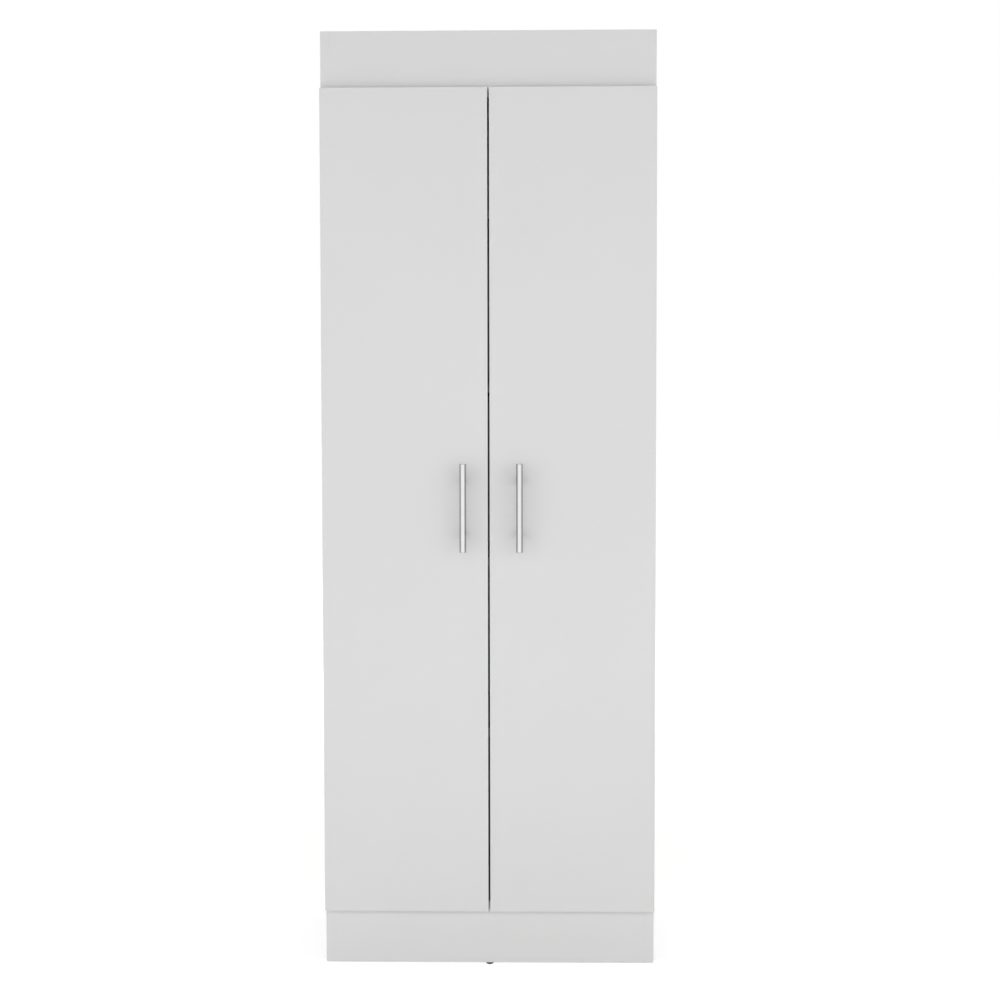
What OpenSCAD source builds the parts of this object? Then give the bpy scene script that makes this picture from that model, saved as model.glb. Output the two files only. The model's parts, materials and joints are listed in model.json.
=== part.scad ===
// Pantry cabinet: a fascia over two full-overlay doors, a plinth below, and four shelves inside.
// Each door turns on three concealed cup hinges. Millimetres; +X right, +Y to the back, +Z up.
// The origin is the centre of the footprint, handles included, on the floor.

/* [Carcass] */
// Overall width
cabinet_w = 600; // [500:1:800]
// Overall height from the floor
cabinet_h = 1692; // [1400:1:2100]
// Depth of the side panels, without doors and back
side_depth = 380; // [300:1:560]
// Thickness of the carcass boards and shelves
board_t = 15; // [15:0.5:19]
// Height of the plinth board
plinth_h = 100; // [80:1:160]
// Height of fascia that shows above the doors
fascia_face_h = 103; // [80:1:160]
// Height by which the doors lap over the fascia
fascia_lap = 15; // [10:1:25]
// Height of the wall rail under the top panel
rail_h = 80; // [70:1:120]
// Thickness of the hardboard back
back_t = 3; // [2.5:0.5:6]
// Setback of the hardboard from the outer side faces
back_inset = 2; // [0:0.5:5]

/* [Shelves] */
// Setback of every shelf from the front of the carcass
shelf_setback = 20; // [5:1:40]
// Gap at each end of an adjustable shelf
shelf_end_gap = 1.5; // [1.2:0.1:2.5]
// Vertical pitch of the shelf pin holes
pin_pitch = 32; // [25:1:40]
// Pin holes above and below each adjustable shelf
spare_pin_holes = 2; // [0:1:3]
// Diameter of the shelf pins
shelf_pin_d = 5; // [4:0.5:6]

/* [Doors] */
// Thickness of the doors
door_t = 15; // [15:0.5:19]
// Gap between the closed doors and the carcass
door_back_gap = 2; // [1.5:0.1:3]
// Gap between the two doors
door_centre_gap = 3.5; // [2:0.5:6]
// Thickness of the rubber door bumpers
bumper_t = 1.6; // [1:0.1:1.9]
// Diameter of the door bumpers
bumper_d = 8; // [6:0.5:10]

/* [Handles] */
// Length of the handle bars
handle_l = 158; // [120:1:250]
// Diameter of the handle bars
handle_d = 12; // [10:0.5:14]
// Distance between the two posts of a handle
handle_post_pitch = 96; // [64:16:96]
// Reach of the handles in front of the doors
handle_reach = 35; // [28:1:45]
// Left handle, from the middle of the cabinet
handle_x_left = 45.5; // [30:0.5:80]
// Right handle, from the middle of the cabinet
handle_x_right = 55.5; // [30:0.5:80]
// Height of the handle centres above the floor
handle_z = 842; // [700:1:1100]
// Diameter of the handle posts
handle_post_d = 10; // [8:0.5:10]

/* [Hinges] */
// Distance of the end hinges from the ends of the door
hinge_end = 90; // [80:1:150]
// Diameter of the hinge cups
cup_d = 35; // [35:0.5:36]
// Depth of the hinge cups
cup_depth = 12; // [11.8:0.1:12.5]
// Centre of the cups, inboard of the inner face of the side panel
cup_inboard = 7.5; // [7:0.1:8]
// Distance of the hinge plate screws behind the carcass front
plate_screw_y = 37; // [34:1:40]
// Thickness of the hinge plates
plate_t = 2.5; // [2:0.1:3]

/* [Fastenings] */
// Diameter of the cam locks
cam_d = 15; // [12:1:15]
// Distance of the cam locks from the end of the board
cam_set = 34; // [24:1:36]
// Diameter of the wood dowels
dowel_d = 8; // [6:1:8]
// Length of the wood dowels
dowel_l = 30; // [24:1:34]
// Diameter of the wall screw holes in the rail
wall_screw_d = 5; // [4:0.5:7]
// Height of the glides
glide_h = 5; // [3:0.5:8]
// Diameter of the glides
glide_d = 14; // [10:0.5:15]
// Radial clearance of round pieces in their holes
fit = 0.1; // [0.05:0.05:0.2]

/* [Hidden] */
$fn = 48;
left = -1;
right = 1;
// How far a cut runs past the face it opens
cut = 0.5;

// Colours
melamine = "#dcdcdc";
hardboard = "#c9b79c";
nickel = "#c4c4c2";
zinc = "#b4b6b8";
beech = "#d8b98a";
dark_plastic = "#4a4643";
clear_rubber = "#e4e4e0";

// Carcass planes
inner_w = cabinet_w - 2 * board_t;
inner_x = inner_w / 2;
overall_depth = handle_reach + door_t + door_back_gap + side_depth + back_t;
front_y = handle_reach + door_t + door_back_gap - overall_depth / 2;
back_y = front_y + side_depth;
bottom_z = glide_h + plinth_h;
floor_z = bottom_z + board_t;
top_z = cabinet_h - board_t;
door_top_z = cabinet_h - fascia_face_h;
fascia_z = door_top_z - fascia_lap;
door_back_y = front_y - door_back_gap;
door_front_y = door_back_y - door_t;

// Shelves: the second of four is fixed and ties the sides together
shelf_count = 4;
fixed_index = 2;
bay_h = (top_z - floor_z - shelf_count * board_t) / (shelf_count + 1);
function shelf_z(index) = floor_z + index * bay_h + (index - 1) * board_t;
adjustable_indices = [for (i = [1 : shelf_count]) if (i != fixed_index) i];
shelf_front_y = front_y + shelf_setback;
split_z = shelf_z(fixed_index) + board_t / 2;
pin_rows_y = [front_y + plate_screw_y, back_y - plate_screw_y];
shelf_pin_in = 8;
shelf_pin_out = 9;
shelf_pin_w = 7;
shelf_pin_collar_d = 8;
shelf_pin_collar_t = 1;
shelf_back_gap = 2;

// Board joints: places are [y, z, turn of the cam pocket about X], the same at both ends of a board
cam_l = 12.5;
cam_channel_d = 7.2;
cam_head_d = 6.6;
cam_head_l = 3;
cam_neck_d = 4;
cam_shank_d = 6;
cam_thread_d = 5;
cam_thread_l = 10;
cam_slot_l = 8;
cam_slot_w = 1.4;
cam_slot_depth = 2;
cam_edge = 60;
joint_pitch = 32;
end_spare = 0.5;
dowel_in_face = 10;
dowel_chamfer = 1;
pocket_down = 0;
pocket_back = 90;
upright_front_y = front_y + board_t / 2;
upright_back_y = back_y - board_t / 2;
fascia_mid_z = (fascia_z + cabinet_h) / 2;
plinth_mid_z = glide_h + plinth_h / 2;
rail_mid_z = top_z - rail_h / 2;
function flat_cams(z) = [for (y = [front_y + cam_edge, back_y - cam_edge]) [y, z, pocket_down]];
function flat_dowels(z) =
    [for (y = [front_y + cam_edge + joint_pitch, back_y - cam_edge - joint_pitch]) [y, z]];
function upright_cam(y, z) = [[y, z - joint_pitch / 2, pocket_back]];
function upright_dowel(y, z) = [[y, z + joint_pitch / 2]];
top_mid_z = top_z + board_t / 2;
bottom_mid_z = bottom_z + board_t / 2;
top_cams = flat_cams(top_mid_z);
bottom_cams = flat_cams(bottom_mid_z);
shelf_cams = flat_cams(split_z);
fascia_cams = upright_cam(upright_front_y, fascia_mid_z);
plinth_cams = upright_cam(upright_front_y, plinth_mid_z);
rail_cams = upright_cam(upright_back_y, rail_mid_z);
all_cams = concat(top_cams, bottom_cams, shelf_cams, fascia_cams, plinth_cams, rail_cams);
top_dowels = flat_dowels(top_mid_z);
bottom_dowels = flat_dowels(bottom_mid_z);
shelf_dowels = flat_dowels(split_z);
fascia_dowels = upright_dowel(upright_front_y, fascia_mid_z);
plinth_dowels = upright_dowel(upright_front_y, plinth_mid_z);
rail_dowels = upright_dowel(upright_back_y, rail_mid_z);
all_dowels = concat(top_dowels, bottom_dowels, shelf_dowels, fascia_dowels, plinth_dowels, rail_dowels);

// Back nails, as [x, z] places
nail_d = 1.6;
nail_l = 20;
nail_head_d = 4;
nail_head_t = 0.8;
nail_edge = 25;
side_mid_x = cabinet_w / 2 - board_t / 2;
function spread(from, to, count) = [for (i = [0 : count - 1]) from + (to - from) * i / (count - 1)];
row_nails_x = [-inner_x / 2, 0, inner_x / 2];
function sheet_nails(z0, z1, count, row_zs) = concat(
    [for (x = [-side_mid_x, side_mid_x], z = spread(z0 + nail_edge, z1 - nail_edge, count)) [x, z]],
    [for (x = row_nails_x, z = row_zs) [x, z]]);
lower_nails = sheet_nails(bottom_z, split_z, 5, [bottom_mid_z, split_z - board_t / 4]);
upper_nails = sheet_nails(split_z, cabinet_h, 6, [top_mid_z, split_z + board_t / 4]);

// Wall screw holes through the rail and the back
wall_hole_x = inner_w / 4;

// Door bumpers, from the middle of the cabinet
bumper_x = 22;

// Glides
glide_flat_d = 9;
glide_bevel = 1.5;
glide_nail_d = 2.2;
glide_nail_l = 16;
glide_set_y = 45;

// Handles
bar_axis_y = handle_d / 2 - handle_reach;
bar_y = door_front_y + bar_axis_y;
bar_chamfer = 0.6;
spigot_d = 5;
spigot_l = 4;
spigot_end_y = bar_axis_y + handle_d / 2 - spigot_l;
handle_screw_d = 4;
handle_screw_l = 10;
handle_screw_play = 0.4;
handle_screw_head_d = 8;
handle_screw_head_t = 2.4;
screw_slot_w = 0.9;
function handle_x(side) = side < 0 ? handle_x_left : handle_x_right;
post_zs = [handle_z - handle_post_pitch / 2, handle_z + handle_post_pitch / 2];

// Hinges. Plan places are [x inboard, y back] from the centre of the cup on the back face of the door.
cup_x = cabinet_w / 2 - board_t - cup_inboard;
hinge_zs = [bottom_z + hinge_end, (bottom_z + door_top_z) / 2, door_top_z - hinge_end];
inner_arm_pin = [4, -6.7];
inner_cup_pin = [-11.6, -1.7];
outer_arm_pin = [12.5, -5.2];
outer_cup_pin = [-11.2, -0.8];
pin_r = 1;
pin_fit = 0.05;
open_pivot_gap = 0.25;
link_r = 1.9;
link_t = 1.2;
fork_opening = 2.8;
layer_gap = 0.3;
fork_z0 = 1.8;
fork_z1 = 4;
cheek_z0 = fork_z1 + layer_gap;
cheek_z1 = cheek_z0 + link_t;
outer_z0 = cheek_z1 + layer_gap;
outer_z1 = outer_z0 + link_t;
pocket_z = outer_z1 + layer_gap;
pin_seat = 1.5;
rib_t = 2 * (fork_z0 - layer_gap);
rib_r = 1.8;
rib_foot = 1.2;
cup_wall = 1.2;
cup_floor = 0.7;
cup_spare = 0.3;
flange_t = 1;
rim_notch = 1.2;
flange_d = 38;
wing_w = 16;
wing_l = 52;
wing_corner = 3;
cup_screw_place = [9.5, 22.5];
cup_screw_d = 3.5;
cup_screw_l = 10;
cup_screw_head_d = 6.5;
cup_screw_head_t = 1.4;
nose_r = 2.4;
arm_depth = 11;
arm_gap = 0.5;
nose_root_y = 16;
arm_rear_y = 64;
arm_web_t = 1.2;
boss_gap = 0.2;
boss_y = [24, 60];
clamp_ys = [31, 52];
clamp_d = 5;
clamp_play = 0.4;
clamp_l = 7;
clamp_head_d = 8.5;
clamp_head_t = 2.2;
plate_body_y = [20, 64];
plate_body_w = 18;
plate_ear_w = 16;
plate_screw_pitch = 32;
plate_screw_d = 5;
plate_screw_l = 11;
plate_screw_head_d = 8;
plate_screw_head_t = 1.5;
// Inner face of the side panel, the arm and the carcass front, in hinge plan places
panel_u = -cup_inboard;
arm_u0 = panel_u + plate_t + arm_gap;
arm_u1 = arm_u0 + arm_depth;
carcass_v = door_back_gap;

// ---- Helpers ----
module both_sides() {
    children();
    mirror([1, 0, 0]) children();
}
module on_side(side) {
    if (side < 0) children();
    else mirror([1, 0, 0]) children();
}
// A block between two corners
module block(from, to) {
    translate(from) cube(to - from);
}
// A cylinder from a place along +X
module rod_x(d, from, to) {
    translate([from, 0, 0]) rotate([0, 90, 0]) cylinder(d = d, h = to - from);
}
// A cylinder from a place along +Y
module rod_y(d, from, to) {
    translate([0, from, 0]) rotate([-90, 0, 0]) cylinder(d = d, h = to - from);
}
module rod_z(d, from, to) {
    translate([0, 0, from]) cylinder(d = d, h = to - from);
}
// Cross recess cut down from z = 0
module cross_recess(length, width, depth) {
    for (turn = [0, 90])
        rotate([0, 0, turn]) translate([-length / 2, -width / 2, -depth])
            cube([length, width, depth + cut]);
}
// Straight band between two plan places, and the same with round ends
module thick_line(a, b, r) {
    translate(a) rotate(atan2(b.y - a.y, b.x - a.x)) translate([0, -r]) square([norm(b - a), 2 * r]);
}
module stadium(a, b, r) {
    translate(a) circle(r = r);
    translate(b) circle(r = r);
    thick_line(a, b, r);
}
// Where a line from a place touches a circle, to the left or right as seen from the circle
function tangent_point(centre, from, r, turn) =
    let (away = from - centre, angle = atan2(away.y, away.x) + turn * acos(r / norm(away)))
    centre + r * [cos(angle), sin(angle)];
// A plan outline as one layer, and as a pair of layers above and below the middle
module layer(z0, z1) {
    translate([0, 0, z0]) linear_extrude(z1 - z0) children();
}
module layer_pair(z0, z1) {
    layer(z0, z1) children();
    layer(-z1, -z0) children();
}

// ---- Board joints, in the frame of a right-hand end: +X points into the side panel ----
module cam_frames(places) {
    for (place = places)
        translate([inner_x, place[0], place[1]]) rotate([place[2], 0, 0]) children();
}
module dowel_frames(places) {
    for (place = places)
        translate([inner_x, place[0], place[1]]) children();
}
module cam_lock() {
    translate([-cam_set, 0, 0])
        difference() {
            rod_z(cam_d, -board_t / 2, cam_l - board_t / 2);
            rod_x(cam_channel_d, -cam_head_l / 2 - end_spare, cam_d);
            translate([0, 0, -board_t / 2]) mirror([0, 0, 1])
                cross_recess(cam_slot_l, cam_slot_w, cam_slot_depth);
        }
}
module cam_bolt() {
    shank_end = cam_set - cam_d / 2 - end_spare;
    rod_x(cam_thread_d, 0, cam_thread_l);
    rod_x(cam_shank_d, -shank_end, 0);
    rod_x(cam_neck_d, -cam_set, -shank_end);
    rod_x(cam_head_d, -cam_set - cam_head_l / 2, -cam_set + cam_head_l / 2);
}
module dowel() {
    tip_d = dowel_d - 2 * dowel_chamfer;
    rotate([0, 90, 0]) translate([0, 0, dowel_in_face - dowel_l]) {
        cylinder(d1 = tip_d, d2 = dowel_d, h = dowel_chamfer);
        translate([0, 0, dowel_chamfer]) cylinder(d = dowel_d, h = dowel_l - 2 * dowel_chamfer);
        translate([0, 0, dowel_l - dowel_chamfer]) cylinder(d1 = dowel_d, d2 = tip_d, h = dowel_chamfer);
    }
}
module dowel_hole_face() {
    rod_x(dowel_d + 2 * fit, -cut, dowel_in_face + end_spare);
}
module dowel_hole_edge() {
    rod_x(dowel_d + 2 * fit, dowel_in_face - dowel_l - end_spare, cut);
}
// Holes in the ends of a board for its cams and dowels
module board_end_cuts(cams, dowels) {
    both_sides() {
        cam_frames(cams) {
            rod_x(cam_channel_d, -cam_set, cut);
            translate([-cam_set, 0, 0])
                rod_z(cam_d + 2 * fit, -board_t / 2 - cut, cam_l + end_spare - board_t / 2);
        }
        dowel_frames(dowels) dowel_hole_edge();
    }
}
// Dowels from the fascia into the top panel, and from the bottom panel into the plinth
module fascia_top_frames() {
    both_sides() translate([inner_x / 2, front_y + board_t, top_mid_z]) rotate([0, 0, -90]) children();
}
module plinth_bottom_frames() {
    both_sides() translate([inner_x / 2, upright_front_y, bottom_z]) rotate([0, -90, 0]) children();
}

// ---- Places of the other fastenings ----
module pin_frames(steps) {
    for (index = adjustable_indices, y = pin_rows_y, step = steps)
        translate([inner_x, y, shelf_z(index) - shelf_pin_d / 2 + step * pin_pitch]) children();
}
module nail_frames(places) {
    for (place = places) translate([place[0], back_y, place[1]]) children();
}
module nail_holes(places) {
    nail_frames(places) rod_y(nail_d + 2 * fit, back_t - nail_l - end_spare, cut);
}
module side_glide_frames() {
    for (y = [front_y + glide_set_y, back_y - glide_set_y]) translate([side_mid_x, y, 0]) children();
}
module glide_nail_hole() {
    rod_z(glide_nail_d + 2 * fit, glide_h - cut, glide_h + glide_nail_l + end_spare);
}
module wall_hole_frames() {
    both_sides() translate([wall_hole_x, back_y, rail_mid_z]) children();
}
// The plate screws of the right-hand hinges, with +X into the side panel
module plate_screw_frames() {
    for (z = hinge_zs, dz = [-plate_screw_pitch / 2, plate_screw_pitch / 2])
        translate([inner_x, front_y + plate_screw_y, z + dz]) children();
}

// ---- Carcass boards ----
module side_panel() {
    color(melamine)
        difference() {
            block([inner_x, front_y, glide_h], [cabinet_w / 2, back_y, cabinet_h]);
            cam_frames(all_cams) rod_x(cam_thread_d + 2 * fit, -cut, cam_thread_l + end_spare);
            dowel_frames(all_dowels) dowel_hole_face();
            pin_frames([-spare_pin_holes : spare_pin_holes])
                rod_x(shelf_pin_d + 2 * fit, -cut, shelf_pin_in + end_spare);
            plate_screw_frames() rod_x(plate_screw_d + 2 * fit, -cut, plate_screw_l + end_spare);
            nail_holes(concat(lower_nails, upper_nails));
            side_glide_frames() glide_nail_hole();
        }
}
module side_panel_left() {
    mirror([1, 0, 0]) side_panel();
}
module side_panel_right() {
    side_panel();
}
module top_panel() {
    color(melamine)
        difference() {
            block([-inner_x, front_y + board_t, top_z], [inner_x, back_y, cabinet_h]);
            board_end_cuts(top_cams, top_dowels);
            fascia_top_frames() dowel_hole_edge();
            nail_holes(upper_nails);
        }
}
module bottom_panel() {
    color(melamine)
        difference() {
            block([-inner_x, front_y, bottom_z], [inner_x, back_y, floor_z]);
            board_end_cuts(bottom_cams, bottom_dowels);
            plinth_bottom_frames() dowel_hole_face();
            nail_holes(lower_nails);
        }
}
module fascia_board() {
    color(melamine)
        difference() {
            block([-inner_x, front_y, fascia_z], [inner_x, front_y + board_t, cabinet_h]);
            board_end_cuts(fascia_cams, fascia_dowels);
            fascia_top_frames() dowel_hole_face();
        }
}
module plinth_board() {
    color(melamine)
        difference() {
            block([-inner_x, front_y, glide_h], [inner_x, front_y + board_t, bottom_z]);
            board_end_cuts(plinth_cams, plinth_dowels);
            plinth_bottom_frames() dowel_hole_edge();
            translate([0, upright_front_y, 0]) glide_nail_hole();
        }
}
module wall_rail() {
    color(melamine)
        difference() {
            block([-inner_x, back_y - board_t, top_z - rail_h], [inner_x, back_y, top_z]);
            board_end_cuts(rail_cams, rail_dowels);
            wall_hole_frames() rod_y(wall_screw_d, -board_t - cut, cut);
        }
}
module fixed_shelf() {
    color(melamine)
        difference() {
            block([-inner_x, shelf_front_y, shelf_z(fixed_index)],
                [inner_x, back_y, shelf_z(fixed_index) + board_t]);
            board_end_cuts(shelf_cams, shelf_dowels);
            nail_holes(concat(lower_nails, upper_nails));
        }
}
module adjustable_shelf(index) {
    half_w = inner_x - shelf_end_gap;
    color(melamine)
        block([-half_w, shelf_front_y, shelf_z(index)],
            [half_w, back_y - shelf_back_gap, shelf_z(index) + board_t]);
}
module back_panel(z0, z1, nails) {
    half_w = cabinet_w / 2 - back_inset;
    color(hardboard)
        difference() {
            block([-half_w, back_y, z0], [half_w, back_y + back_t, z1]);
            nail_frames(nails) {
                rod_y(nail_d + 2 * fit, -cut, back_t);
                rod_y(nail_head_d + 2 * fit, back_t - nail_head_t, back_t + cut);
            }
            wall_hole_frames() rod_y(wall_screw_d, -cut, back_t + cut);
        }
}

// ---- Carcass fastenings and small fittings ----
module back_nails() {
    color(zinc)
        nail_frames(concat(lower_nails, upper_nails)) {
            rod_y(nail_d, back_t - nail_l, back_t - nail_head_t);
            rod_y(nail_head_d, back_t - nail_head_t, back_t);
        }
}
module cam_locks() {
    color(zinc) both_sides() cam_frames(all_cams) cam_lock();
}
module cam_bolts() {
    color(zinc) both_sides() cam_frames(all_cams) cam_bolt();
}
module wood_dowels() {
    color(beech) {
        both_sides() dowel_frames(all_dowels) dowel();
        fascia_top_frames() dowel();
        plinth_bottom_frames() dowel();
    }
}
module shelf_pins() {
    color(nickel)
        both_sides()
            pin_frames([0]) {
                rod_x(shelf_pin_d, 0, shelf_pin_in);
                rod_x(shelf_pin_collar_d, -shelf_pin_collar_t, 0);
                intersection() {
                    rod_x(shelf_pin_w, -shelf_pin_out, -shelf_pin_collar_t);
                    block([-shelf_pin_out, -shelf_pin_w / 2, -shelf_pin_w / 2],
                        [0, shelf_pin_w / 2, shelf_pin_d / 2]);
                }
            }
}
module glide() {
    color(dark_plastic) {
        cylinder(d1 = glide_flat_d, d2 = glide_d, h = glide_bevel);
        rod_z(glide_d, glide_bevel, glide_h);
        rod_z(glide_nail_d, glide_h, glide_h + glide_nail_l);
    }
}
module side_glides() {
    both_sides() side_glide_frames() glide();
}
module centre_glide() {
    translate([0, upright_front_y, 0]) glide();
}
module door_bumpers() {
    color(clear_rubber)
        both_sides()
            for (z = [fascia_z + fascia_lap / 2, bottom_mid_z])
                translate([bumper_x, front_y, z]) rod_y(bumper_d, -bumper_t, 0);
}

// ---- Doors and handles, drawn for the left door ----
module hinge_frames(side) {
    on_side(side)
        for (z = hinge_zs) translate([-cup_x, door_back_y, z]) children();
}
module cup_screw_frames() {
    for (turn = [-1, 1])
        translate([cup_screw_place.x, 0, turn * cup_screw_place.y]) children();
}
module handle_frames(side) {
    on_side(side)
        for (z = post_zs) translate([-handle_x(side), door_front_y, z]) children();
}
module door_panel(side) {
    color(melamine)
        difference() {
            on_side(side)
                block([-cabinet_w / 2, door_front_y, bottom_z],
                    [-door_centre_gap / 2, door_back_y, door_top_z]);
            hinge_frames(side) {
                rod_y(cup_d + 2 * fit, -cup_depth - cup_spare, cut);
                cup_screw_frames() rod_y(cup_screw_d + 2 * fit, -cup_screw_l - end_spare, cut);
            }
            handle_frames(side) rod_y(handle_screw_d + handle_screw_play, -cut, door_t + cut);
        }
}
module handle_bar(side) {
    end_d = handle_d - 2 * bar_chamfer;
    color(nickel)
        difference() {
            on_side(side)
                translate([-handle_x(side), bar_y, handle_z - handle_l / 2]) {
                    cylinder(d1 = end_d, d2 = handle_d, h = bar_chamfer);
                    rod_z(handle_d, bar_chamfer, handle_l - bar_chamfer);
                    translate([0, 0, handle_l - bar_chamfer])
                        cylinder(d1 = handle_d, d2 = end_d, h = bar_chamfer);
                }
            handle_frames(side) rod_y(spigot_d + 2 * fit, spigot_end_y - end_spare, 0);
        }
}
module handle_posts(side) {
    color(nickel)
        difference() {
            union() {
                difference() {
                    handle_frames(side) rod_y(handle_post_d, bar_axis_y, 0);
                    on_side(side) translate([-handle_x(side), bar_y, handle_z])
                        rod_z(handle_d, -handle_l, handle_l);
                }
                handle_frames(side) rod_y(spigot_d, spigot_end_y, bar_axis_y + handle_d / 2 + cut);
            }
            handle_frames(side) rod_y(handle_screw_d + 2 * fit, -handle_screw_l - end_spare, cut);
        }
}
module handle_screws(side) {
    color(zinc)
        handle_frames(side) {
            rod_y(handle_screw_d, -handle_screw_l, door_t);
            difference() {
                rod_y(handle_screw_head_d, door_t, door_t + handle_screw_head_t);
                translate([0, door_t + handle_screw_head_t, 0]) rotate([-90, 0, 0])
                    cross_recess(handle_screw_head_d / 2, screw_slot_w, handle_screw_head_t / 2);
            }
        }
}

// ---- Hinges, drawn for the left door in plan: X inboard, Y back, layered along Z ----
module pocket_outline() {
    intersection() {
        circle(d = cup_d - 2 * cup_wall);
        square([cup_d, 2 * pocket_z], center = true);
    }
}
module flange_outline() {
    circle(d = flange_d);
    straight = wing_l - 2 * wing_corner;
    translate([0, -straight / 2]) square([wing_w, straight]);
    translate([0, -wing_l / 2]) square([wing_w - wing_corner, wing_l]);
    for (turn = [-1, 1]) translate([wing_w - wing_corner, turn * straight / 2]) circle(r = wing_corner);
}
module hinge_cup() {
    // Outlines in the plane of the door turn so that their second axis runs along Z
    difference() {
        union() {
            rod_y(cup_d, -cup_depth, 0);
            rotate([-90, 0, 0]) linear_extrude(flange_t) flange_outline();
        }
        rotate([-90, 0, 0]) translate([0, 0, cup_floor - cup_depth])
            linear_extrude(cup_depth + flange_t) pocket_outline();
        // Notch in the outboard rim, for the links of the open hinge
        block([-flange_d / 2 - cut, -rim_notch, -outer_z1 - layer_gap],
            [outer_cup_pin.x, flange_t + cut, outer_z1 + layer_gap]);
        cup_screw_frames() rod_y(cup_screw_d + 2 * fit, -cut, flange_t + cut);
        hinge_pin(outer_cup_pin, -pocket_z - pin_seat, pocket_z + pin_seat);
    }
    // Rib that carries the inner link, standing on the pocket floor
    difference() {
        layer(-rib_t / 2, rib_t / 2) {
            translate(inner_cup_pin) circle(r = rib_r);
            translate([-cup_d / 2 + cup_wall / 2, cup_floor / 2 - cup_depth])
                square([inner_cup_pin.x + rib_foot + cup_d / 2 - cup_wall / 2,
                    inner_cup_pin.y + cup_depth - cup_floor / 2]);
        }
        hinge_pin(inner_cup_pin, -rib_t, rib_t);
    }
}
module hinge_pin(place, z0, z1) {
    translate(place) rod_z(2 * pin_r, z0, z1);
}
module hinge_cups(side) {
    color(nickel) hinge_frames(side) hinge_cup();
}
module hinge_cup_pins(side) {
    color(zinc)
        hinge_frames(side) {
            hinge_pin(inner_cup_pin, -fork_z1, fork_z1);
            for (turn = [0, 1]) mirror([0, 0, turn]) hinge_pin(outer_cup_pin, outer_z0, pocket_z + pin_seat);
        }
}
module hinge_cup_screws(side) {
    color(zinc)
        hinge_frames(side) cup_screw_frames() {
            rod_y(cup_screw_d, -cup_screw_l, flange_t);
            difference() {
                rod_y(cup_screw_head_d, flange_t, flange_t + cup_screw_head_t);
                translate([0, flange_t + cup_screw_head_t, 0]) rotate([-90, 0, 0])
                    cross_recess(cup_screw_head_d / 2, screw_slot_w, cup_screw_head_t / 2);
            }
        }
}
module pivot_hole(place, extra) {
    translate(place) circle(r = pin_r + pin_fit + extra);
}
// Fork that turns on the inner arm pin and carries the cup
module hinge_inner_link() {
    reach = norm(inner_cup_pin - inner_arm_pin);
    web_end = inner_arm_pin + (inner_cup_pin - inner_arm_pin) * (1 - fork_opening / reach);
    layer_pair(fork_z0, fork_z1)
        difference() {
            stadium(inner_arm_pin, inner_cup_pin, link_r);
            pivot_hole(inner_arm_pin, 0);
            pivot_hole(inner_cup_pin, 0);
        }
    layer(-fork_z0, fork_z0)
        difference() {
            union() {
                translate(inner_arm_pin) circle(r = link_r);
                thick_line(inner_arm_pin, web_end, link_r);
            }
            pivot_hole(inner_arm_pin, 0);
        }
}
// Pair of plates that turn on the outer arm pin; their cup end is the open pivot of the linkage
module hinge_outer_link() {
    layer_pair(outer_z0, outer_z1)
        difference() {
            stadium(outer_arm_pin, outer_cup_pin, link_r);
            pivot_hole(outer_arm_pin, 0);
            pivot_hole(outer_cup_pin, open_pivot_gap);
        }
}
module hinge_inner_links(side) {
    color(zinc) hinge_frames(side) hinge_inner_link();
}
module hinge_outer_links(side) {
    color(nickel) hinge_frames(side) hinge_outer_link();
}
module hinge_arm() {
    pin_line = outer_arm_pin - inner_arm_pin;
    nose_side = nose_r * [pin_line.y, -pin_line.x] / norm(pin_line);
    layer_pair(cheek_z0, cheek_z1)
        difference() {
            union() {
                translate(inner_arm_pin) circle(r = nose_r);
                translate(outer_arm_pin) circle(r = nose_r);
                polygon([
                    [arm_u0, carcass_v + arm_rear_y], [arm_u0, nose_root_y],
                    tangent_point(inner_arm_pin, [arm_u0, nose_root_y], nose_r, 1),
                    inner_arm_pin + nose_side, outer_arm_pin + nose_side,
                    tangent_point(outer_arm_pin, [arm_u1, nose_root_y], nose_r, -1),
                    [arm_u1, nose_root_y], [arm_u1, carcass_v + arm_rear_y]
                ]);
            }
            translate(inner_arm_pin) circle(r = pin_r);
            translate(outer_arm_pin) circle(r = pin_r);
        }
    difference() {
        block([arm_u1 - arm_web_t, nose_root_y, -cheek_z1], [arm_u1, carcass_v + arm_rear_y, cheek_z1]);
        clamp_frames() rod_x(clamp_d + clamp_play, -arm_web_t - cut, cut);
    }
}
// Clamp screws of a hinge, on the web of the arm, with +X inboard
module clamp_frames() {
    for (y = clamp_ys) translate([arm_u1, carcass_v + y, 0]) children();
}
module hinge_arms(side) {
    color(nickel) hinge_frames(side) hinge_arm();
}
module hinge_arm_pins(side) {
    color(zinc)
        hinge_frames(side) {
            hinge_pin(inner_arm_pin, -cheek_z1, cheek_z1);
            hinge_pin(outer_arm_pin, -outer_z1, outer_z1);
        }
}
module hinge_arm_screws(side) {
    color(zinc)
        hinge_frames(side) clamp_frames() {
            rod_x(clamp_d, -clamp_l, 0);
            difference() {
                rod_x(clamp_head_d, 0, clamp_head_t);
                translate([clamp_head_t, 0, 0]) rotate([0, 90, 0])
                    cross_recess(clamp_head_d / 2, screw_slot_w, clamp_head_t / 2);
            }
        }
}
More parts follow.
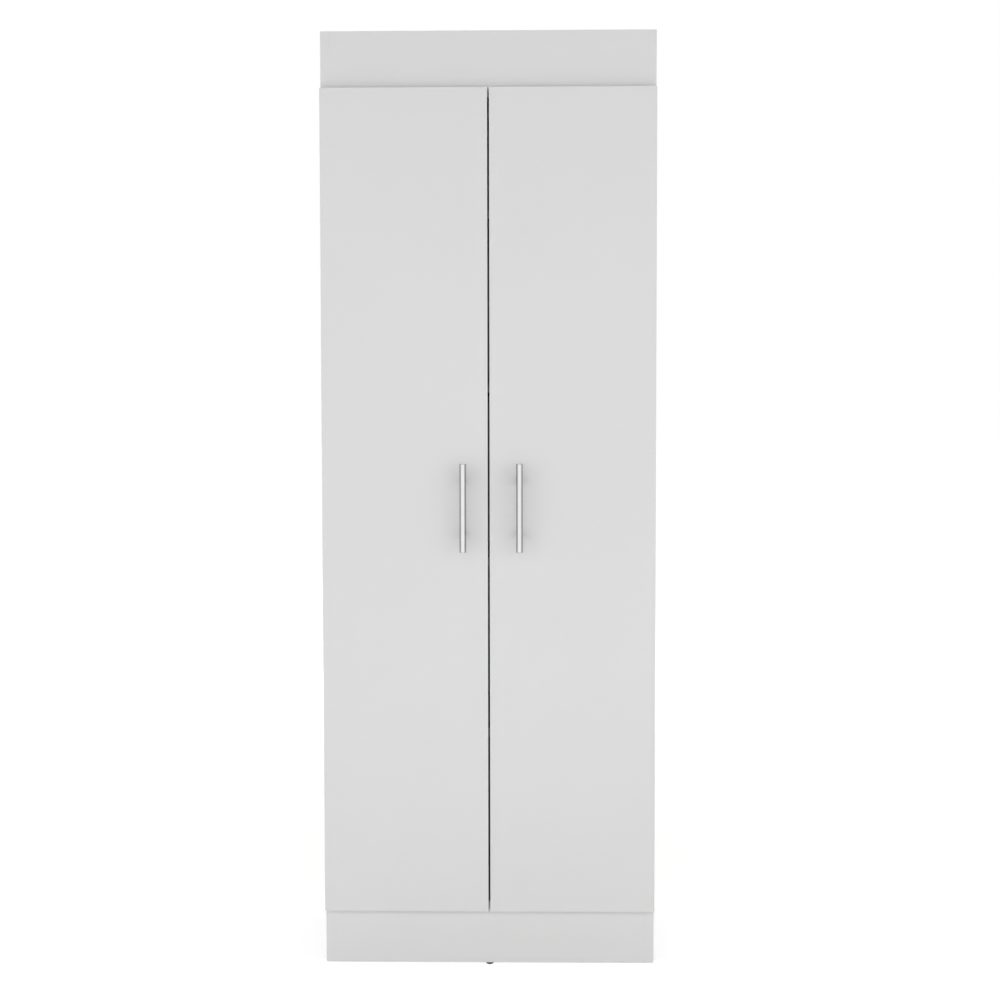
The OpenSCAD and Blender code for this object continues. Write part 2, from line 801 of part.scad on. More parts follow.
// Plate outline: first axis back from the carcass front, second axis up
module plate_outline() {
    ear = plate_screw_pitch / 2;
    translate([plate_body_y[0], -plate_body_w / 2])
        square([plate_body_y[1] - plate_body_y[0], plate_body_w]);
    stadium([plate_screw_y, -ear], [plate_screw_y, ear], plate_ear_w / 2);
}
module hinge_plate() {
    difference() {
        union() {
            translate([panel_u, carcass_v, 0]) rotate([90, 0, 90]) linear_extrude(plate_t) plate_outline();
            block([panel_u + plate_t, carcass_v + boss_y[0], boss_gap - cheek_z0],
                [arm_u1 - arm_web_t, carcass_v + boss_y[1], cheek_z0 - boss_gap]);
        }
        plate_hole_frames() {
            rod_x(plate_screw_d + 2 * fit, -cut, plate_t + cut);
            rod_x(plate_screw_head_d + 2 * fit, plate_t - plate_screw_head_t, plate_t + cut);
        }
        clamp_frames() rod_x(clamp_d + 2 * fit, -clamp_l - end_spare, 0);
    }
}
module plate_hole_frames() {
    for (turn = [-1, 1])
        translate([panel_u, carcass_v + plate_screw_y, turn * plate_screw_pitch / 2]) children();
}
module hinge_plates(side) {
    color(nickel) hinge_frames(side) hinge_plate();
}
module hinge_plate_screws(side) {
    color(zinc)
        hinge_frames(side) plate_hole_frames() {
            rod_x(plate_screw_d, -plate_screw_l, plate_t - plate_screw_head_t);
            difference() {
                rod_x(plate_screw_head_d, plate_t - plate_screw_head_t, plate_t);
                translate([plate_t, 0, 0]) rotate([0, 90, 0])
                    cross_recess(plate_screw_head_d / 2, screw_slot_w, plate_screw_head_t / 2);
            }
        }
}

side_panel_left();
side_panel_right();
top_panel();
bottom_panel();
fascia_board();
plinth_board();
wall_rail();
fixed_shelf();
adjustable_shelf(adjustable_indices[0]);  // adjustable_shelf_1
adjustable_shelf(adjustable_indices[1]);  // adjustable_shelf_2
adjustable_shelf(adjustable_indices[2]);  // adjustable_shelf_3
back_panel(bottom_z, split_z, lower_nails);  // back_panel_lower
back_panel(split_z, cabinet_h, upper_nails);  // back_panel_upper
back_nails();
cam_locks();
cam_bolts();
wood_dowels();
shelf_pins();
side_glides();
centre_glide();
door_bumpers();
door_panel(left);  // door_panel_left
door_panel(right);  // door_panel_right
handle_bar(left);  // handle_bar_left
handle_bar(right);  // handle_bar_right
handle_posts(left);  // handle_posts_left
handle_posts(right);  // handle_posts_right
handle_screws(left);  // handle_screws_left
handle_screws(right);  // handle_screws_right
hinge_cups(left);  // hinge_cups_left
hinge_cups(right);  // hinge_cups_right
hinge_cup_pins(left);  // hinge_cup_pins_left
hinge_cup_pins(right);  // hinge_cup_pins_right
hinge_cup_screws(left);  // hinge_cup_screws_left
hinge_cup_screws(right);  // hinge_cup_screws_right
hinge_inner_links(left);  // hinge_inner_links_left
hinge_inner_links(right);  // hinge_inner_links_right
hinge_outer_links(left);  // hinge_outer_links_left
hinge_outer_links(right);  // hinge_outer_links_right
hinge_arms(left);  // hinge_arms_left
hinge_arms(right);  // hinge_arms_right
hinge_arm_pins(left);  // hinge_arm_pins_left
hinge_arm_pins(right);  // hinge_arm_pins_right
hinge_arm_screws(left);  // hinge_arm_screws_left
hinge_arm_screws(right);  // hinge_arm_screws_right
hinge_plates(left);  // hinge_plates_left
hinge_plates(right);  // hinge_plates_right
hinge_plate_screws(left);  // hinge_plate_screws_left
hinge_plate_screws(right);  // hinge_plate_screws_right
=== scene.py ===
"""The look of a pantry cabinet: a camera, soft light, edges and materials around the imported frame.

Lengths are metres and the frame is the row frame: +X right, +Y to the back, +Z up, floor at z = 0.
Colours are linear, noise scales are features per metre, and relief is a height in metres.
"""

import json
import math

import bpy
from mathutils import Matrix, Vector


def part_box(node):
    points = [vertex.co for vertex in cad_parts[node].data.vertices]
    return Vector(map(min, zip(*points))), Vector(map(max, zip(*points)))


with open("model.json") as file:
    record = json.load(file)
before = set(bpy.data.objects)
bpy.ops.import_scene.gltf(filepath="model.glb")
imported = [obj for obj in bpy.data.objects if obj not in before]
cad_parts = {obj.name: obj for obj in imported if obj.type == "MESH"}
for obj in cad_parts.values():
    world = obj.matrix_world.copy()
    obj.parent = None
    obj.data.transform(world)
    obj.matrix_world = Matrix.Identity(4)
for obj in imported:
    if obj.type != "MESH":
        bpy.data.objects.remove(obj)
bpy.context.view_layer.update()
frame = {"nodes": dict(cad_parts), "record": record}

MM = 0.001
AXES = "xyz"

# ---------------------------------------------------------------- colours
MELAMINE = (0.700, 0.700, 0.702)
MELAMINE_TINT = (0.690, 0.690, 0.688)
MELAMINE_WORN = (0.56, 0.54, 0.50)
TAPE_GLUE = (0.50, 0.49, 0.47)
CHIP_LIGHT = (0.520, 0.390, 0.250)
CHIP_DARK = (0.240, 0.160, 0.095)
HARDBOARD_LIGHT = (0.390, 0.235, 0.125)
HARDBOARD_DARK = (0.190, 0.108, 0.056)
BEECH_LIGHT = (0.640, 0.450, 0.270)
BEECH_DARK = (0.480, 0.310, 0.170)
NICKEL = (0.375, 0.375, 0.373)
NICKEL_DARK = (0.350, 0.350, 0.348)
PLATE = (0.580, 0.576, 0.566)
PLATE_DARK = (0.545, 0.541, 0.531)
ZINC = (0.520, 0.534, 0.556)
ZINC_DARK = (0.420, 0.434, 0.456)
GLIDE = (0.055, 0.050, 0.046)
GLIDE_SCUFFED = (0.105, 0.098, 0.092)
RUBBER = (0.760, 0.760, 0.730)
RUBBER_CLOUD = (0.70, 0.70, 0.66)
WHITE = (1.0, 1.0, 1.0)
FLOOR = (0.86, 0.86, 0.86)

# The part of its 0 to 1 range that a noise mostly stays in
NOISE_SPAN = (0.3, 0.7)

# A face counts as facing a way when its normal points at least this much that way
FACING = 0.5


# ---------------------------------------------------------------- node helpers
class Graph:
    """Short calls for building a node tree."""

    def __init__(self, tree):
        self.tree = tree

    def node(self, kind, inputs=None, **settings):
        made = self.tree.nodes.new(kind)
        for key, value in settings.items():
            setattr(made, key, value)
        for key, value in (inputs or {}).items():
            self.feed(made.inputs[key], value)
        return made

    def feed(self, socket, value):
        """Links a socket to another one, or sets it to a value."""
        if isinstance(value, bpy.types.NodeSocket):
            self.tree.links.new(value, socket)
        elif socket.type == "RGBA":
            socket.default_value = (*value, 1.0)
        else:
            socket.default_value = value

    def math(self, operation, a, b=0.0):
        return self.node("ShaderNodeMath", {0: a, 1: b}, operation=operation).outputs[0]

    def vector(self, operation, a, b=(0.0, 0.0, 0.0)):
        made = self.node("ShaderNodeVectorMath", {0: a, 1: b}, operation=operation)
        return made.outputs["Value" if operation in ("DOT_PRODUCT", "LENGTH") else "Vector"]

    def split(self, vector):
        return self.node("ShaderNodeSeparateXYZ", {0: vector}).outputs

    def noise(self, vector, scale, detail=2.0, roughness=0.5, distortion=0.0):
        inputs = {
            "Vector": vector,
            "Scale": scale,
            "Detail": detail,
            "Roughness": roughness,
            "Distortion": distortion,
        }
        return self.node("ShaderNodeTexNoise", inputs).outputs["Fac"]

    def stretched(self, vector, scale):
        return self.node("ShaderNodeMapping", {"Vector": vector, "Scale": scale}).outputs[0]

    def remap(self, value, span, to=(0.0, 1.0), smooth=False):
        """Takes the two ends of span to the two ends of to, and stays there outside them."""
        inputs = {
            "Value": value,
            "From Min": span[0],
            "From Max": span[1],
            "To Min": to[0],
            "To Max": to[1],
        }
        kind = "SMOOTHSTEP" if smooth else "LINEAR"
        return self.node("ShaderNodeMapRange", inputs, interpolation_type=kind).outputs[0]

    def blend(self, factor, a, b):
        """Colour a where factor is 0 and colour b where it is 1."""
        made = self.node("ShaderNodeMix", data_type="RGBA")
        self.feed(made.inputs["Factor"], factor)
        self.feed(made.inputs[6], a)
        self.feed(made.inputs[7], b)
        return made.outputs[2]

    def lerp(self, factor, a, b):
        """Number a where factor is 0 and number b where it is 1."""
        made = self.node("ShaderNodeMix", data_type="FLOAT")
        self.feed(made.inputs[0], factor)
        self.feed(made.inputs[2], a)
        self.feed(made.inputs[3], b)
        return made.outputs[0]

    def weigh(self, share, a, b):
        """The sum of a and b, with a counted by share and b by the rest."""
        return self.math("ADD", self.math("MULTIPLY", a, share), self.math("MULTIPLY", b, 1.0 - share))

    def bump(self, height):
        """A normal from a height in metres."""
        inputs = {"Height": height, "Distance": 1.0, "Strength": 1.0}
        return self.node("ShaderNodeBump", inputs).outputs[0]


def start_material(name):
    """A new material with a Principled shader: the material, its graph and the shader node."""
    made = bpy.data.materials.new(name)
    made.use_nodes = True
    made.node_tree.nodes.clear()
    graph = Graph(made.node_tree)
    shader = graph.node("ShaderNodeBsdfPrincipled")
    output = graph.node("ShaderNodeOutputMaterial")
    graph.feed(output.inputs["Surface"], shader.outputs[0])
    return made, graph, shader


def finish_shader(graph, shader, colour, roughness, normal, **constants):
    graph.feed(shader.inputs["Base Color"], colour)
    graph.feed(shader.inputs["Roughness"], roughness)
    graph.feed(shader.inputs["Normal"], normal)
    for key, value in constants.items():
        shader.inputs[key.replace("_", " ")].default_value = value


def object_place(graph):
    return graph.node("ShaderNodeTexCoord").outputs["Object"]


# ---------------------------------------------------------------- boards: foil, edge tape and core
FOIL_CLOUDS = 2.6
FOIL_CLOUD_SPAN = (0.35, 0.65)
FOIL_PEARL = 1150.0
FOIL_SHEEN = 420.0
FOIL_ROUGHNESS = (0.40, 0.47)
PEARL_RELIEF = 3.5e-6

TAPE_T = 0.8 * MM
JOINT_W = 0.09 * MM
JOINT_TINT = 0.35
JOINT_RELIEF = 2.0e-5

WORN_W = 0.9 * MM
WORN_SCUFFS = 190.0
WORN_SPAN = (0.52, 0.70)
WORN_TINT = 0.22
WORN_ROUGHNESS = 0.15

FLAKES = 520.0
FLAKE_TONES = 3.7
FLAKE_SHARE = 0.6
CHIP_GRAIN = 260.0
CHIP_SPAN = (0.2, 0.85)
CHIP_ROUGHNESS = 0.9
CHIP_RELIEF = 1.6e-4

# Deeper than this inside a board is the wall of a bore
CORE_DEPTH = 0.75 * MM


def laminate(graph, place, edge_distance):
    """White foil with a fine pearl, an edge tape joint and light rubbing at the edges."""
    clouds = graph.noise(place, FOIL_CLOUDS)
    pearl = graph.noise(place, FOIL_PEARL, roughness=0.6)
    sheen = graph.noise(place, FOIL_SHEEN, detail=1.0)
    colour = graph.blend(graph.remap(clouds, FOIL_CLOUD_SPAN), MELAMINE, MELAMINE_TINT)
    off_joint = graph.math("ABSOLUTE", graph.math("SUBTRACT", edge_distance, TAPE_T))
    joint = graph.remap(off_joint, (0.0, JOINT_W), (1.0, 0.0))
    colour = graph.blend(graph.math("MULTIPLY", joint, JOINT_TINT), colour, TAPE_GLUE)
    scuffs = graph.remap(graph.noise(place, WORN_SCUFFS, detail=4.0, roughness=0.7), WORN_SPAN)
    at_edge = graph.remap(edge_distance, (0.0, WORN_W), (1.0, 0.0))
    worn = graph.math("MULTIPLY", scuffs, at_edge)
    colour = graph.blend(graph.math("MULTIPLY", worn, WORN_TINT), colour, MELAMINE_WORN)
    roughness = graph.math(
        "ADD",
        graph.remap(sheen, NOISE_SPAN, FOIL_ROUGHNESS),
        graph.math("MULTIPLY", worn, WORN_ROUGHNESS),
    )
    height = graph.math("MULTIPLY", pearl, PEARL_RELIEF)
    height = graph.math("SUBTRACT", height, graph.math("MULTIPLY", joint, JOINT_RELIEF))
    return colour, roughness, height


def chips(graph, place):
    """Bare particleboard, for bores and for edges without tape."""
    cells = {"Vector": place, "Scale": FLAKES, "Randomness": 1.0}
    flakes = graph.split(graph.node("ShaderNodeTexVoronoi", cells).outputs["Color"])[0]
    tone = graph.math("FRACT", graph.math("MULTIPLY", flakes, FLAKE_TONES))
    grain = graph.noise(place, CHIP_GRAIN, detail=5.0, roughness=0.65)
    mixed = graph.weigh(FLAKE_SHARE, tone, grain)
    colour = graph.blend(graph.remap(mixed, CHIP_SPAN), CHIP_DARK, CHIP_LIGHT)
    return colour, graph.math("MULTIPLY", mixed, CHIP_RELIEF)


def board_group():
    """Node group that dresses one board from its box and from the sides that carry tape."""
    tree = bpy.data.node_groups.new("board", "ShaderNodeTree")
    for name in ("low", "high", "tape_low", "tape_high"):
        tree.interface.new_socket(name, in_out="INPUT", socket_type="NodeSocketVector")
    tree.interface.new_socket("colour", in_out="OUTPUT", socket_type="NodeSocketColor")
    tree.interface.new_socket("roughness", in_out="OUTPUT", socket_type="NodeSocketFloat")
    tree.interface.new_socket("normal", in_out="OUTPUT", socket_type="NodeSocketVector")
    graph = Graph(tree)
    given = graph.node("NodeGroupInput").outputs
    at = graph.node("ShaderNodeTexCoord").outputs
    place, facing = at["Object"], at["Normal"]

    to_low = graph.vector("SUBTRACT", place, given["low"])
    to_high = graph.vector("SUBTRACT", given["high"], place)
    x, y, z = graph.split(graph.vector("MINIMUM", to_low, to_high))
    smaller, larger = graph.math("MINIMUM", x, y), graph.math("MAXIMUM", x, y)
    depth = graph.math("MINIMUM", smaller, z)
    # The middle one of three distances is how far a point of a face is from its nearest edge
    edge_distance = graph.math("MAXIMUM", smaller, graph.math("MINIMUM", larger, z))
    in_bore = graph.math("GREATER_THAN", depth, CORE_DEPTH)

    untaped = []
    for sign, tape in ((-1.0, given["tape_low"]), (1.0, given["tape_high"])):
        towards = graph.vector("MAXIMUM", graph.vector("MULTIPLY", facing, (sign,) * 3))
        missing = graph.vector("SUBTRACT", WHITE, tape)
        untaped.append(graph.vector("DOT_PRODUCT", towards, missing))
    on_bare_side = graph.math("GREATER_THAN", graph.math("ADD", *untaped), FACING)
    core = graph.math("MAXIMUM", in_bore, on_bare_side)

    foil_colour, foil_roughness, foil_height = laminate(graph, place, edge_distance)
    chip_colour, chip_height = chips(graph, place)
    result = graph.node("NodeGroupOutput")
    graph.feed(result.inputs["colour"], graph.blend(core, foil_colour, chip_colour))
    graph.feed(result.inputs["roughness"], graph.lerp(core, foil_roughness, CHIP_ROUGHNESS))
    graph.feed(result.inputs["normal"], graph.bump(graph.lerp(core, foil_height, chip_height)))
    return tree


BOARD_GROUP = board_group()


def board_material(node, bare_sides):
    """Material of one board. bare_sides names the sides without tape, such as "+y"."""
    made, graph, shader = start_material(f"{node}_board")
    low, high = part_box(node)
    dress = graph.node("ShaderNodeGroup", node_tree=BOARD_GROUP)
    tape = {sign: [0.0 if sign + axis in bare_sides else 1.0 for axis in AXES] for sign in "-+"}
    given = {"low": low, "high": high, "tape_low": tape["-"], "tape_high": tape["+"]}
    for name, value in given.items():
        dress.inputs[name].default_value = tuple(value)
    looks = dress.outputs
    finish_shader(graph, shader, looks["colour"], looks["roughness"], looks["normal"])
    return made


# Sides of each board that carry no tape; all faces and other edges are white
BARE_SIDES = {
    "side_panel_left": ("+y", "-z"),
    "side_panel_right": ("+y", "-z"),
    "top_panel": ("-x", "+x", "-y", "+y"),
    "bottom_panel": ("-x", "+x", "+y"),
    "fascia_board": ("-x", "+x"),
    "plinth_board": ("-x", "+x", "-z"),
    "wall_rail": ("-x", "+x", "+z"),
    "fixed_shelf": ("-x", "+x", "+y"),
    "adjustable_shelf_1": ("+y",),
    "adjustable_shelf_2": ("+y",),
    "adjustable_shelf_3": ("+y",),
    "door_panel_left": (),
    "door_panel_right": (),
}

# ---------------------------------------------------------------- back sheets
HARDBOARD_CLOUDS = 9.0
HARDBOARD_FIBRES = 700.0
FIBRE_STRETCH = (1.0, 1.0, 0.45)
CLOUD_SHARE = 0.22
HARDBOARD_SPAN = (0.33, 0.67)
HARDBOARD_ROUGHNESS = (0.66, 0.78)
FIBRE_RELIEF = 4.0e-5
MESH_PITCH = 1.6 * MM
MESH_RELIEF = 1.5e-5
NO_EDGE_NEAR = 0.1


def hardboard_material():
    """Brown fibreboard with a mesh-marked outer face and a white inner face."""
    made, graph, shader = start_material("hardboard")
    at = graph.node("ShaderNodeTexCoord").outputs
    place = at["Object"]
    inner = graph.math("LESS_THAN", graph.split(at["Normal"])[1], -FACING)
    clouds = graph.noise(place, HARDBOARD_CLOUDS, detail=4.0, roughness=0.6)
    fibres = graph.noise(
        graph.stretched(place, FIBRE_STRETCH), HARDBOARD_FIBRES, detail=4.0, roughness=0.75, distortion=0.6
    )
    tone = graph.weigh(CLOUD_SHARE, clouds, fibres)
    brown = graph.blend(graph.remap(tone, HARDBOARD_SPAN), HARDBOARD_DARK, HARDBOARD_LIGHT)
    x, _, z = graph.split(place)
    turns = 2 * math.pi / MESH_PITCH
    wires = [graph.math("SINE", graph.math("MULTIPLY", along, turns)) for along in (x, z)]
    mesh = graph.math("MULTIPLY", graph.math("ADD", *wires), MESH_RELIEF)
    height = graph.math("ADD", mesh, graph.math("MULTIPLY", fibres, FIBRE_RELIEF))
    foil_colour, foil_roughness, foil_height = laminate(graph, place, NO_EDGE_NEAR)
    finish_shader(
        graph,
        shader,
        graph.blend(inner, brown, foil_colour),
        graph.lerp(inner, graph.remap(clouds, NOISE_SPAN, HARDBOARD_ROUGHNESS), foil_roughness),
        graph.bump(graph.lerp(inner, height, foil_height)),
    )
    return made


# ---------------------------------------------------------------- metals
# Light and dark tone, stretch of the streaks, streaks per metre, relief, and roughness at its ends
METALS = {
    "brushed_nickel": (NICKEL, NICKEL_DARK, (0.15, 0.15, 1.0), 5200.0, 3.0e-7, (0.15, 0.09)),
    "nickel_plate": (PLATE, PLATE_DARK, (1.0, 1.0, 0.5), 900.0, 4.0e-7, (0.28, 0.25)),
    "zinc_plate": (ZINC, ZINC_DARK, (1.0, 1.0, 1.0), 700.0, 1.5e-6, (0.44, 0.34)),
}
METAL_CLOUDS = 45.0
STREAK_SHARE = 0.6
METAL_SPAN = (0.36, 0.64)


def metal_material(name, light, dark, stretch, scale, relief, roughness):
    """Metal whose brushing or plating is noise stretched by the given amounts."""
    made, graph, shader = start_material(name)
    place = object_place(graph)
    streaks = graph.noise(graph.stretched(place, stretch), scale, detail=3.0, roughness=0.7)
    clouds = graph.noise(place, METAL_CLOUDS, detail=3.0, roughness=0.6)
    amount = graph.remap(graph.weigh(STREAK_SHARE, streaks, clouds), METAL_SPAN)
    finish_shader(
        graph,
        shader,
        graph.blend(amount, dark, light),
        graph.lerp(amount, *roughness),
        graph.bump(graph.math("MULTIPLY", streaks, relief)),
        Metallic=1.0,
    )
    return made


# ---------------------------------------------------------------- dowels, glides and bumpers
BEECH_GRAIN = 900.0
GRAIN_STRETCH = (0.06, 1.0, 1.0)
BEECH_FLECKS = 1800.0
FLECK_STRETCH = (0.25, 1.0, 1.0)
FLECK_SPAN = (0.62, 0.72)
FLECK_TINT = 0.25
BEECH_SPAN = (0.3, 0.65)
BEECH_ROUGHNESS = (0.55, 0.7)
BEECH_RELIEF = 3.0e-5

GLIDE_GRAIN = 1600.0
GLIDE_ROUGHNESS = (0.42, 0.52)
GLIDE_RELIEF = 1.2e-5
SCRATCHES = 900.0
SCRATCH_STRETCH = (1.0, 0.2, 1.0)
SCRATCH_SPAN = (0.5, 0.7)
SCRATCH_HEIGHTS = (0.3 * MM, 2.4 * MM)
SCRATCH_ROUGHNESS = 0.2

RUBBER_CLOUDS = 400.0
RUBBER_ROUGHNESS = (0.24, 0.34)
RUBBER_RELIEF = 1.0e-5
RUBBER_CLEARNESS = 0.45
RUBBER_IOR = 1.41


def beech_material():
    """Beech with its grain along the dowels, and short flecks."""
    made, graph, shader = start_material("beech")
    place = object_place(graph)
    along = graph.stretched(place, GRAIN_STRETCH)
    grain = graph.noise(along, BEECH_GRAIN, detail=4.0, roughness=0.6, distortion=0.4)
    flecks = graph.noise(graph.stretched(place, FLECK_STRETCH), BEECH_FLECKS, detail=1.0)
    tone = graph.math("SUBTRACT", grain, graph.remap(flecks, FLECK_SPAN, (0.0, FLECK_TINT)))
    finish_shader(
        graph,
        shader,
        graph.blend(graph.remap(tone, BEECH_SPAN), BEECH_DARK, BEECH_LIGHT),
        graph.remap(grain, NOISE_SPAN, BEECH_ROUGHNESS),
        graph.bump(graph.math("MULTIPLY", grain, BEECH_RELIEF)),
    )
    return made


def glide_material():
    """Dark moulded plastic, scuffed where it meets the floor."""
    made, graph, shader = start_material("glide_plastic")
    place = object_place(graph)
    grain = graph.noise(place, GLIDE_GRAIN)
    marks = graph.noise(graph.stretched(place, SCRATCH_STRETCH), SCRATCHES, detail=3.0, roughness=0.7)
    low_down = graph.remap(graph.split(place)[2], SCRATCH_HEIGHTS, (1.0, 0.0))
    scuff = graph.math("MULTIPLY", graph.remap(marks, SCRATCH_SPAN), low_down)
    roughness = graph.math(
        "ADD",
        graph.remap(grain, NOISE_SPAN, GLIDE_ROUGHNESS),
        graph.math("MULTIPLY", scuff, SCRATCH_ROUGHNESS),
    )
    finish_shader(
        graph,
        shader,
        graph.blend(scuff, GLIDE, GLIDE_SCUFFED),
        roughness,
        graph.bump(graph.math("MULTIPLY", grain, GLIDE_RELIEF)),
    )
    return made


def rubber_material():
    """Clear soft rubber with faint flow clouds."""
    made, graph, shader = start_material("clear_rubber")
    clouds = graph.noise(object_place(graph), RUBBER_CLOUDS, detail=3.0)
    finish_shader(
        graph,
        shader,
        graph.blend(graph.remap(clouds, NOISE_SPAN), RUBBER_CLOUD, RUBBER),
        graph.remap(clouds, NOISE_SPAN, RUBBER_ROUGHNESS),
        graph.bump(graph.math("MULTIPLY", clouds, RUBBER_RELIEF)),
        Transmission_Weight=RUBBER_CLEARNESS,
        IOR=RUBBER_IOR,
    )
    return made


# Materials by the material slot of a node; a board has its own instead
SHARED = {
    "hardboard": hardboard_material(),
    **{name: metal_material(name, *finish) for name, finish in METALS.items()},
    "beech": beech_material(),
    "glide_plastic": glide_material(),
    "clear_rubber": rubber_material(),
}

# ---------------------------------------------------------------- rounded edges
BOARDS = ("side_panel", "top_panel", "bottom_panel", "fascia", "plinth", "wall_rail", "fixed", "adjustable")
SMALL_PIECES = ("handle_posts", "side_glides", "centre_glide", "door_bumpers", "shelf_pins")

# Starts of node names, width of the rounding and its segments
EDGES = (
    (("door_panel",), 0.6 * MM, 3),
    (BOARDS, 0.3 * MM, 2),
    (("back_panel",), 0.25 * MM, 2),
    (("handle_bar",), 0.2 * MM, 3),
    (SMALL_PIECES, 0.2 * MM, 2),
)
OTHER_EDGE = (0.12 * MM, 2)
EDGE_ANGLE = math.radians(32)
SAME_POINT = 1e-6
FLAT_FACE_WEIGHT = 80

# Nodes whose flat faces are full of long slivers, which a rounding would fold over
MERGED = ("back_panel", "hinge_")
MERGE_ANGLE = math.radians(0.3)


def edge_of(node):
    for starts, width, segments in EDGES:
        if node.startswith(starts):
            return width, segments
    return OTHER_EDGE


def soften(node, piece):
    """Rounds the sharp edges of a CAD piece; the slivers of some pieces are merged first."""
    width, segments = edge_of(node)
    weld = piece.modifiers.new("weld", "WELD")
    weld.merge_threshold = SAME_POINT
    if node.startswith(MERGED):
        flat = piece.modifiers.new("flat", "DECIMATE")
        flat.decimate_type, flat.angle_limit = "DISSOLVE", MERGE_ANGLE
    bevel = piece.modifiers.new("edges", "BEVEL")
    bevel.width, bevel.segments = width, segments
    bevel.limit_method, bevel.angle_limit = "ANGLE", EDGE_ANGLE
    bevel.use_clamp_overlap = True
    normals = piece.modifiers.new("normals", "WEIGHTED_NORMAL")
    normals.keep_sharp = False
    normals.weight = FLAT_FACE_WEIGHT


slots = {row["node"]: row["material_slot"] for row in frame["record"]["subparts"]}
for node, piece in frame["nodes"].items():
    if node in BARE_SIDES:
        finish = board_material(node, BARE_SIDES[node])
    else:
        finish = SHARED[slots[node]]
    piece.data.materials.clear()
    piece.data.materials.append(finish)
    soften(node, piece)

# ---------------------------------------------------------------- floor, world and lamps
FLOOR_SIZE = 120.0

# The floor glows to white for the rays that see the background. It glows less round the cabinet,
# where the lamps light it, so that the shadow shows beside, behind and under the cabinet. The lower
# glow begins over the span SHADOW_FRONT of y, behind the face of the plinth board, so the floor in
# front stays white. It ends over the span SHADOW_FADE of distances from the middle.
FLOOR_GLOW = 0.86
SHADOW_GLOW = 0.42
SHADOW_FRONT = (-0.152, -0.135)
SHADOW_FADE = (1.2, 3.0)

AMBIENT = 0.20


def background_rays(graph):
    """1 for rays that see the background: from the camera, in gloss and through clear things."""
    rays = graph.node("ShaderNodeLightPath").outputs
    seen = graph.math("MAXIMUM", rays["Is Camera Ray"], rays["Is Glossy Ray"])
    return graph.math("MAXIMUM", seen, rays["Is Transmission Ray"])


def make_floor():
    mesh = bpy.data.meshes.new("floor")
    half = FLOOR_SIZE / 2
    corners = [(-half, -half, 0), (half, -half, 0), (half, half, 0), (-half, half, 0)]
    mesh.from_pydata(corners, [], [(0, 1, 2, 3)])
    floor = bpy.data.objects.new("floor", mesh)
    bpy.context.scene.collection.objects.link(floor)
    paint = bpy.data.materials.new("floor_paint")
    paint.use_nodes = True
    paint.node_tree.nodes.clear()
    graph = Graph(paint.node_tree)
    matt = graph.node("ShaderNodeBsdfDiffuse", {"Color": FLOOR})
    place = object_place(graph)
    in_front = graph.remap(graph.split(place)[1], SHADOW_FRONT, (1.0, 0.0))
    far = graph.remap(graph.vector("LENGTH", place), SHADOW_FADE, smooth=True)
    level = graph.lerp(graph.math("MAXIMUM", in_front, far), SHADOW_GLOW, FLOOR_GLOW)
    strength = graph.math("MULTIPLY", background_rays(graph), level)
    glow = graph.node("ShaderNodeEmission", {"Color": WHITE, "Strength": strength})
    both = graph.node("ShaderNodeAddShader", {0: matt.outputs[0], 1: glow.outputs[0]})
    graph.node("ShaderNodeOutputMaterial", {"Surface": both.outputs[0]})
    mesh.materials.append(paint)


def make_world():
    world = bpy.data.worlds.new("studio")
    bpy.context.scene.world = world
    world.use_nodes = True
    world.node_tree.nodes.clear()
    graph = Graph(world.node_tree)
    strength = graph.lerp(background_rays(graph), AMBIENT, 1.0)
    sky = graph.node("ShaderNodeBackground", {"Color": WHITE, "Strength": strength})
    graph.node("ShaderNodeOutputWorld", {"Surface": sky.outputs[0]})


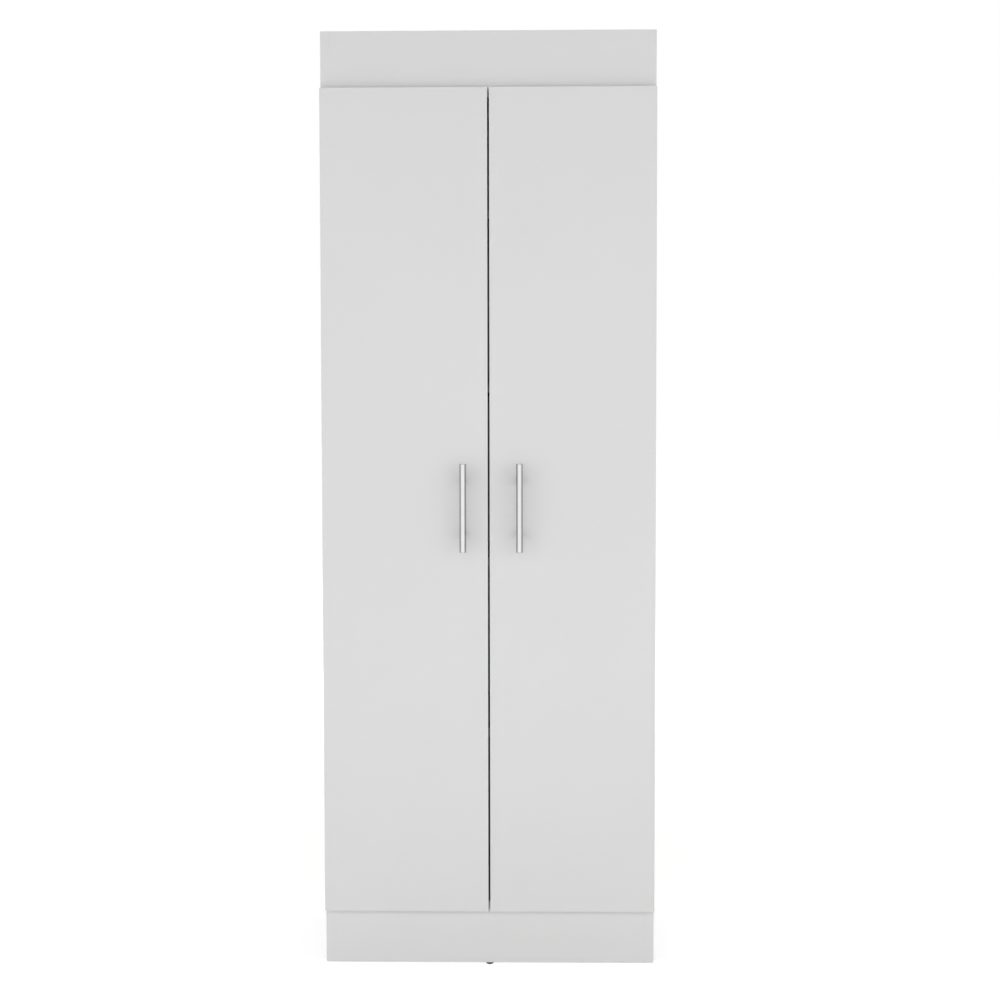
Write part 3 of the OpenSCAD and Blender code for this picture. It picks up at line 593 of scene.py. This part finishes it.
def make_box(name, azimuth, elevation, distance, centre, size, radiance, in_gloss):
    """A soft box that faces a point from azimuth (0 in front, 90 at the right) and elevation."""
    lamp = bpy.data.lights.new(name, "AREA")
    lamp.shape = "RECTANGLE"
    lamp.size, lamp.size_y = size
    lamp.energy = radiance * math.pi * lamp.size * lamp.size_y
    holder = bpy.data.objects.new(name, lamp)
    around = Matrix.Rotation(math.radians(azimuth), 4, "Z")
    tilt = Matrix.Rotation(math.radians(90 - elevation), 4, "X")
    away = Matrix.Translation((0, 0, distance))
    holder.matrix_world = Matrix.Translation(centre) @ around @ tilt @ away
    holder.visible_camera = False
    holder.visible_glossy = in_gloss
    bpy.context.scene.collection.objects.link(holder)


WALL_SIZE = (9.0, 3.3)
WALL_DISTANCE = 3.2
WALL_CENTRE = (0, 0, 0.92)

# The four boxes round the cabinet: name, azimuth, radiance and whether gloss shows them
WALLS = (
    ("front_key", 0, 1.27, True),
    ("right_fill", 90, 0.76, False),
    ("back_fill", 180, 0.62, False),
    ("left_fill", 270, 0.70, False),
)
make_floor()
make_world()
for name, azimuth, radiance, in_gloss in WALLS:
    make_box(name, azimuth, 0, WALL_DISTANCE, WALL_CENTRE, WALL_SIZE, radiance, in_gloss)
make_box(
    "top_fill",
    azimuth=180,
    elevation=58,
    distance=2.4,
    centre=(0, 0, 1.7),
    size=(3.2, 1.6),
    radiance=2.2,
    in_gloss=False,
)
make_box(
    "floor_fill",
    azimuth=0,
    elevation=90,
    distance=0.0,
    centre=(0, -2.0, 0.9),
    size=(5.0, 1.2),
    radiance=0.44,
    in_gloss=False,
)

# ---------------------------------------------------------------- camera, fitted to the picture
CAMERA_PLACE = (0.0691, -2.9700, 0.9969)
CAMERA_YAW, CAMERA_PITCH, CAMERA_ROLL = 0.0175, -0.0507, -0.0015
CAMERA_CLIP = (0.05, 200.0)
SENSOR = 36.0
FOCAL_IN_FRAMES = 1.5536

camera = bpy.data.cameras.new("camera")
camera.sensor_width = SENSOR
camera.lens = FOCAL_IN_FRAMES * SENSOR
camera.clip_start, camera.clip_end = CAMERA_CLIP
view_from = bpy.data.objects.new("camera", camera)
turned = (
    Matrix.Rotation(CAMERA_YAW, 4, "Z")
    @ Matrix.Rotation(math.pi / 2 + CAMERA_PITCH, 4, "X")
    @ Matrix.Rotation(CAMERA_ROLL, 4, "Z")
)
view_from.matrix_world = Matrix.Translation(CAMERA_PLACE) @ turned
scene = bpy.context.scene
scene.collection.objects.link(view_from)
scene.camera = view_from
scene.view_settings.view_transform = "Standard"

# ---------------------------------------------------------------- update the scene
bpy.context.view_layer.update()
